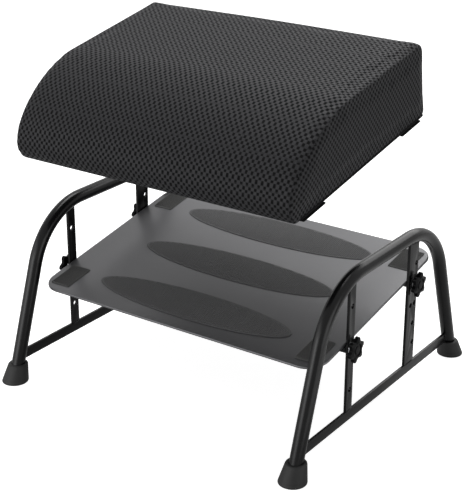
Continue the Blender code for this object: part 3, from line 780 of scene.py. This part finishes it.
def settle(points):
    """Stuffing spreads the ends by x (1 + spread z / H), leans the back in by lean (z / H) (2 y / D)
    and lets the nose hang by drop s^2 (3 - 2 s), where s grows from 0 to 1 ahead of the patches and
    fades with height."""
    x, y, z = np.moveaxis(np.asarray(points, float), -1, 0)
    up = np.clip(z / CUSHION_H, 0, 1)
    s = np.clip((HANG_FROM - y) / HANG_OVER, 0, 1) * np.clip(1 - z / HANG_HEIGHT, 0, 1)
    y_settled = y - BACK_LEAN * up * np.clip(2 * y / CUSHION_D, 0, 1)
    return np.stack([x * (1 + TOP_SPREAD * up), y_settled, z - NOSE_DROP * s**2 * (3 - 2 * s)], -1)


def cushion_grid(inset):
    """The outline at each place across X, pushed inwards by the inset and, near the ends, by a
    quarter round; the top is crowned by (1 - (x / half)^2). Then the block is made true to the
    stuffed shape by settle()."""
    half = CUSHION_W / 2 - inset
    t = np.linspace(0, np.pi / 2, 8)
    edge_x, edge_draw = half - END_EDGE_R * (1 - np.sin(t)), END_EDGE_R * (1 - np.cos(t))
    middle = np.linspace(-(half - END_EDGE_R), half - END_EDGE_R, 90)[1:-1]
    x = np.concatenate([-edge_x[::-1], middle, edge_x])
    draw = np.concatenate([edge_draw[::-1], 0 * middle, edge_draw])
    y, z = OUTLINE.T
    share = 0.25 + 0.75 * np.minimum(z / NOSE_H, 1)
    push = inset + draw[:, None] * share[None]
    crown = CROWN * (1 - (x / half) ** 2)[:, None] * (z / CUSHION_H)[None]
    yy = y[None] + INWARD[None, :, 0] * push
    zz = z[None] + INWARD[None, :, 1] * push + crown
    return settle(np.stack([np.broadcast_to(x[:, None], yy.shape), yy, zz], -1))


print("outline of", len(OUTLINE), "points")

# %% Cloth simulation
VOXEL, SWELL_CAP, SHRINK_CAP, START_INSET = 0.0045, 0.0022, 0.0003, -0.0013
PRESSURE, FRAMES = 4.0, 20


def positions(mesh):
    """The mesh's points as an array."""
    co = np.zeros(len(mesh.vertices) * 3)
    mesh.vertices.foreach_get("co", co)
    return co.reshape(-1, 3)


def remeshed(source, voxel):
    """A copy of an object's mesh with even quads, from the voxel remesh modifier."""
    even = source.modifiers.new("even", "REMESH")
    even.mode, even.voxel_size = "VOXEL", voxel
    mesh = bpy.data.meshes.new_from_object(source.evaluated_get(bpy.context.evaluated_depsgraph_get()))
    source.modifiers.remove(even)
    return mesh


def blown_up(pad):
    """Steps a cloth with air pressure and no gravity; returns where its points end up."""
    cloth = pad.modifiers.new("cloth", "CLOTH")
    cloth.settings.use_pressure = True
    cloth.settings.uniform_pressure_force = PRESSURE
    cloth.settings.effector_weights.gravity = 0.0
    cloth.settings.quality = 5
    for number in range(1, FRAMES + 1):
        bpy.context.scene.frame_set(number)
    done = pad.evaluated_get(bpy.context.evaluated_depsgraph_get())
    after = positions(done.data)
    pad.modifiers.remove(cloth)
    bpy.context.scene.frame_set(1)
    return after


cover = bpy.data.objects.new("cushion_pad", bpy.data.meshes.new("cushion_pad"))
bpy.context.scene.collection.objects.link(cover)
start_points, start_faces = shell(cushion_grid(START_INSET))
cover.data.from_pydata(start_points.tolist(), [], start_faces)
cover.data = remeshed(cover, VOXEL)
before = positions(cover.data)
outward = np.zeros(len(before) * 3)
cover.data.vertex_normals.foreach_get("vector", outward)
outward = outward.reshape(-1, 3)
after = blown_up(cover)
swell = ((after - before) * outward).sum(1, keepdims=True)
local = before + outward * np.clip(swell, -SHRINK_CAP, SWELL_CAP)
print("cloth swelled up to", round(float(swell.max()) * 1000, 1), "mm, capped at", SWELL_CAP * 1000)

# %% [markdown]
# The simulated cover is kept flat underneath, because the foam stands on a flat panel there. One
# level of subdivision smooths the voxel steps. Then each face gets its place on the cloth: across
# the width and along the side view for the long panel, and level with the floor on the two end
# panels, where the mesh was cut another way. The long panel is stretched a little over the nose and
# more over the slope, so its rows of holes lie further apart there than on the top. A short table
# gives how much cloth lies on each metre at places along the outline.

# %% Cover's finish
local[:, 2] = np.maximum(local[:, 2], settle(local * [1, 1, 0])[:, 2])
cover.data.vertices.foreach_set("co", local.ravel())
finer = cover.modifiers.new("finer", "SUBSURF")
finer.levels = finer.render_levels = 1
mesh = bpy.data.meshes.new_from_object(cover.evaluated_get(bpy.context.evaluated_depsgraph_get()))
cover.modifiers.remove(finer)
cover.data = mesh
local = positions(mesh)
mesh.shade_smooth()

arc = np.concatenate([[0], np.cumsum(np.linalg.norm(np.diff(OUTLINE, axis=0), axis=1))])
ARC_PLACES, CLOTH_PER_ARC = [0, 0.11, 0.112, 0.2, 0.21, 1], [0.90, 0.90, 0.83, 0.83, 0.99, 0.99]
share = np.interp(arc, ARC_PLACES, CLOTH_PER_ARC)
along_cloth = np.concatenate([[0], np.cumsum(np.diff(arc) * (share[1:] + share[:-1]) / 2)])
near = np.concatenate(
    [
        np.argmin(((part[:, None, 1:] - OUTLINE[None]) ** 2).sum(-1), 1)
        for part in np.array_split(local, 60)
    ]
)
corner_points = np.zeros(len(mesh.loops), np.int64)
mesh.loops.foreach_get("vertex_index", corner_points)
face_normals = np.zeros(len(mesh.polygons) * 3)
mesh.polygons.foreach_get("normal", face_normals)
face_sizes = np.zeros(len(mesh.polygons), np.int64)
mesh.polygons.foreach_get("loop_total", face_sizes)
END_PANEL_SLANT = 0.72
is_end = np.repeat(np.abs(face_normals.reshape(-1, 3)[:, 0]) > END_PANEL_SLANT, face_sizes)
level = moved(local, Matrix.Rotation(TILT, 4, "X"))
long_uv = np.stack([local[:, 0], along_cloth[near]], 1)[corner_points]
end_uv = level[:, 1:][corner_points]
layer = mesh.uv_layers.new(name="cloth")
layer.data.foreach_set("uv", np.where(is_end[:, None], end_uv, long_uv).ravel())
cover.data.vertices.foreach_set("co", moved(local, SEAT).ravel())
mesh.update()
print("cover:", len(mesh.vertices), "points;", int(is_end.sum()), "corners on the end panels")


# %% Mesh cloth
HOLE_PITCH, FRAY_SIZE, LOOP_SIZE = 8.33 * MM, 1.4 * MM, 0.9 * MM


def mesh_cloth():
    """Spacer mesh: holes where cos(k u) cos(k v) is high, 8.33 mm apart in staggered rows, on a
    knit of fine loops. Polyester yarn is half matt, and the open holes send no gloss back."""
    made, shader = material("knitted_polyester_spacer_mesh")
    uv = node(made, "UVMap", uv_map="cloth").outputs["UV"]
    apart = node(made, "SeparateXYZ", [(0, uv)])
    turn = 2 * math.pi / HOLE_PITCH
    waves = []
    for axis in ("X", "Y"):
        angle = node(made, "Math", [(0, apart.outputs[axis])], operation="MULTIPLY", i_1=turn)
        waves.append(node(made, "Math", [(0, angle.outputs[0])], operation="COSINE").outputs[0])
    lattice = node(made, "Math", [(0, waves[0]), (1, waves[1])], operation="MULTIPLY")
    place = node(made, "TexCoord").outputs["Object"]
    fray = node(made, "TexNoise", [("Vector", place)], i_Scale=1 / FRAY_SIZE, i_Detail=2.0)
    frayed = node(
        made, "Math", [(0, fray.outputs["Fac"])], operation="MULTIPLY_ADD", i_1=0.3, i_2=-0.15
    )
    field = node(made, "Math", [(0, lattice.outputs[0]), (1, frayed.outputs[0])], operation="ADD")
    hole = node(made, "MapRange", [(0, field.outputs[0])], interpolation_type="SMOOTHSTEP")
    hole.inputs["From Min"].default_value = -0.35
    hole.inputs["From Max"].default_value = 0.65
    knit = node(made, "TexVoronoi", [("Vector", place)], i_Scale=1 / LOOP_SIZE, feature="F1")
    yarn = node(made, "Mix", [(0, knit.outputs["Distance"])], data_type="RGBA")
    yarn.inputs["A"].default_value = linear("#38383a")
    yarn.inputs["B"].default_value = linear("#262628")
    tint = node(made, "Mix", [(0, hole.outputs[0]), ("A", yarn.outputs["Result"])], data_type="RGBA")
    # The near-black colour of the holes is painted shade inside the holes, laid over the dark lining that
    # shows through them.
    tint.inputs["B"].default_value = linear("#0b0b0c")
    sunk = node(made, "Math", [(0, hole.outputs[0])], operation="MULTIPLY", i_1=-1.0)
    raised = [(0, knit.outputs["Distance"]), (2, sunk.outputs[0])]
    height = node(made, "Math", raised, operation="MULTIPLY_ADD", i_1=-0.35)
    bump = node(made, "Bump", [("Height", height.outputs[0])], i_Strength=0.8, i_Distance=0.45 * MM)
    rough = node(made, "MapRange", [(0, hole.outputs[0])])
    rough.inputs["To Min"].default_value = 0.56
    rough.inputs["To Max"].default_value = 1.0
    wire(made, tint.outputs["Result"], shader.inputs["Base Color"])
    wire(made, rough.outputs["Result"], shader.inputs["Roughness"])
    wire(made, bump.outputs["Normal"], shader.inputs["Normal"])
    shader_values(shader, Specular_IOR_Level=0.12)
    return made


cover.name = "cushion_cloth"
cover.data.materials.clear()
cover.data.materials.append(mesh_cloth())
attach(cover, "cushion")
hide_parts("cushion_cover", "cushion_foam")

# %% [markdown]
# A welt runs round the cover's base: a cord in a strip of the base cloth, sewn into the seam where
# the mesh ends. It is a thin round sweep along the rounded rectangle of the base. The path laps over
# itself by two points at each end while it is swept, so that the ring closes without a kink.

# %% Welt and base panel
WELT_R, WELT_LIFT, WELT_CORNER, WELT_BACK = 0.0016, 0.0012, 0.006, 0.003
welt_depth = CUSHION_D - NOSE_TUCK - WELT_BACK
spots, ways = rectangle_columns(CUSHION_W + 0.001, welt_depth, WELT_CORNER, 40, 30, 10)
welt_path = np.column_stack([spots + ways * WELT_CORNER, np.full(len(spots), WELT_LIFT)])
welt_path = settle(welt_path + [0, (NOSE_TUCK - WELT_BACK) / 2, 0])
welt_path = np.concatenate([welt_path[-2:], welt_path, welt_path[:2]])
welt_grid = swept(welt_path, WELT_R, (0, 0, 1), 12)[2:-2]
welt = shell(moved(welt_grid, SEAT), closed_rows=True)
piece("cushion_welt", *welt, BASE_CLOTH, "cushion", "base_cloth", sharp=180)
LIP, PANEL_CORNER, PANEL_T, PANEL_BELOW = 0.018, 0.010, 0.002, -0.0002
panel_profile = smooth_corners(
    [(PANEL_CORNER, PANEL_BELOW), (0, PANEL_BELOW), (0, PANEL_T), (PANEL_CORNER, PANEL_T)],
    [0, 0.0004, 0.0004, 0], 3,
)
panel_grid = rounded_plate(
    CUSHION_W - 2 * LIP - 2 * FIT, CUSHION_D - 2 * LIP - 2 * FIT, PANEL_CORNER - FIT, panel_profile
)
piece(
    "cushion_base_cloth", *shell(moved(panel_grid, SEAT)), BASE_CLOTH, "cushion", "base_cloth",
    ["cushion_base_panel"],
)

# %% [markdown]
# ## What is left of the CAD nodes
#
# The threaded plugs sit inside the cross tubes and keep their CAD meshes, with the zinc finish.

# %% Remaining nodes
for name, cad in frame["nodes"].items():
    if cad.hide_render:
        continue
    cad.data.materials.clear()
    cad.data.materials.append(ZINC)
    print("kept CAD node", name)

# %% [markdown]
# ## Floor, light and background
#
# The picture is a studio shot on pure white. The floor is a pale grey, and its own glow, seen by the
# camera and faintly in reflections, lifts it to paper white. At this strength only a trace of the
# object's shadow is left; a weaker glow would show more of it. A large soft lamp stands above the
# back, a small one low in front, and the world fills in from all sides. Four more panels light
# nothing: they are only mirrored, as the reflectors of a studio are, and draw the long pale bands on
# the round tubes.

# %% Stage
FLOOR_HALF, FLOOR_Z = 6.0, -0.0002
floor_mesh = bpy.data.meshes.new("floor")
floor_mesh.from_pydata(square(FLOOR_HALF, FLOOR_Z).tolist(), [], [(0, 1, 2, 3)])
floor = bpy.data.objects.new("floor", floor_mesh)
bpy.context.scene.collection.objects.link(floor)
white, white_shader = material("white_studio_floor")
GLOW_SEEN, GLOW_MIRRORED = 0.88, 0.3
seen = node(white, "LightPath").outputs
mirror_rays = [(0, seen["Is Transmission Ray"]), (1, seen["Is Glossy Ray"])]
mirrored = node(white, "Math", mirror_rays, operation="MAXIMUM")
faint = node(white, "Math", [(0, mirrored.outputs[0])], operation="MULTIPLY", i_1=GLOW_MIRRORED)
glow_rays = [(0, seen["Is Camera Ray"]), (2, faint.outputs[0])]
glow = node(white, "Math", glow_rays, operation="MULTIPLY_ADD", i_1=GLOW_SEEN)
wire(white, glow.outputs[0], white_shader.inputs["Emission Strength"])
shader_values(white_shader, Base_Color=(0.65, 0.65, 0.65, 1), Roughness=0.9, Specular_IOR_Level=0.0)
shader_values(white_shader, Emission_Color=(1, 1, 1, 1))
floor_mesh.materials.append(white)

world = bpy.data.worlds.new("studio")
world.use_nodes = True
bpy.context.scene.world = world
sky = world.node_tree.nodes["Background"]
rays = node(world, "LightPath").outputs
shown = rays["Is Camera Ray"]
for kind in ("Is Glossy Ray", "Is Transmission Ray"):
    shown = node(world, "Math", [(0, shown), (1, rays[kind])], operation="MAXIMUM").outputs[0]
FILL_LIGHT, SEEN_WHITE = 0.33, 1.0
level_out = node(world, "MapRange", [(0, shown)])
level_out.inputs["To Min"].default_value = FILL_LIGHT
level_out.inputs["To Max"].default_value = SEEN_WHITE
wire(world, level_out.outputs[0], sky.inputs["Strength"])
sky.inputs["Color"].default_value = (1, 1, 1, 1)


def lamp(name, at, toward, width, height, power, only_mirrored=False):
    """A soft rectangular lamp that faces a point; one that is only mirrored gives no other light."""
    data = bpy.data.lights.new(name, "AREA")
    data.shape, data.size, data.size_y, data.energy = "RECTANGLE", width, height, power
    made = bpy.data.objects.new(name, data)
    bpy.context.scene.collection.objects.link(made)
    made.location = at
    made.rotation_euler = (Vector(toward) - Vector(at)).to_track_quat("-Z", "Y").to_euler()
    made.visible_diffuse = not only_mirrored
    return made


lamp("overhead", (-0.35, 0.65, 2.3), (0, 0, 0.2), 1.1, 1.5, 40)
lamp("left_softbox", (-0.75, -2.1, 0.55), (0, 0, 0.2), 1.0, 0.8, 10)
lamp("left_panel", (-0.8, -1.6, 0.6), (0, 0, 0.2), 2.4, 1.2, 21, True)
lamp("back_panel", (0.15, 1.7, 1.25), (0, 0, 0.2), 1.7, 0.9, 15, True)
lamp("right_panel", (1.7, -0.3, 0.45), (0, 0, 0.2), 1.1, 0.9, 8, True)
lamp("floor_panel", (1.1, -0.2, 0.004), (1.1, -0.2, 1), 1.2, 0.9, 5.5, True)
bpy.context.scene.view_settings.view_transform = "Standard"
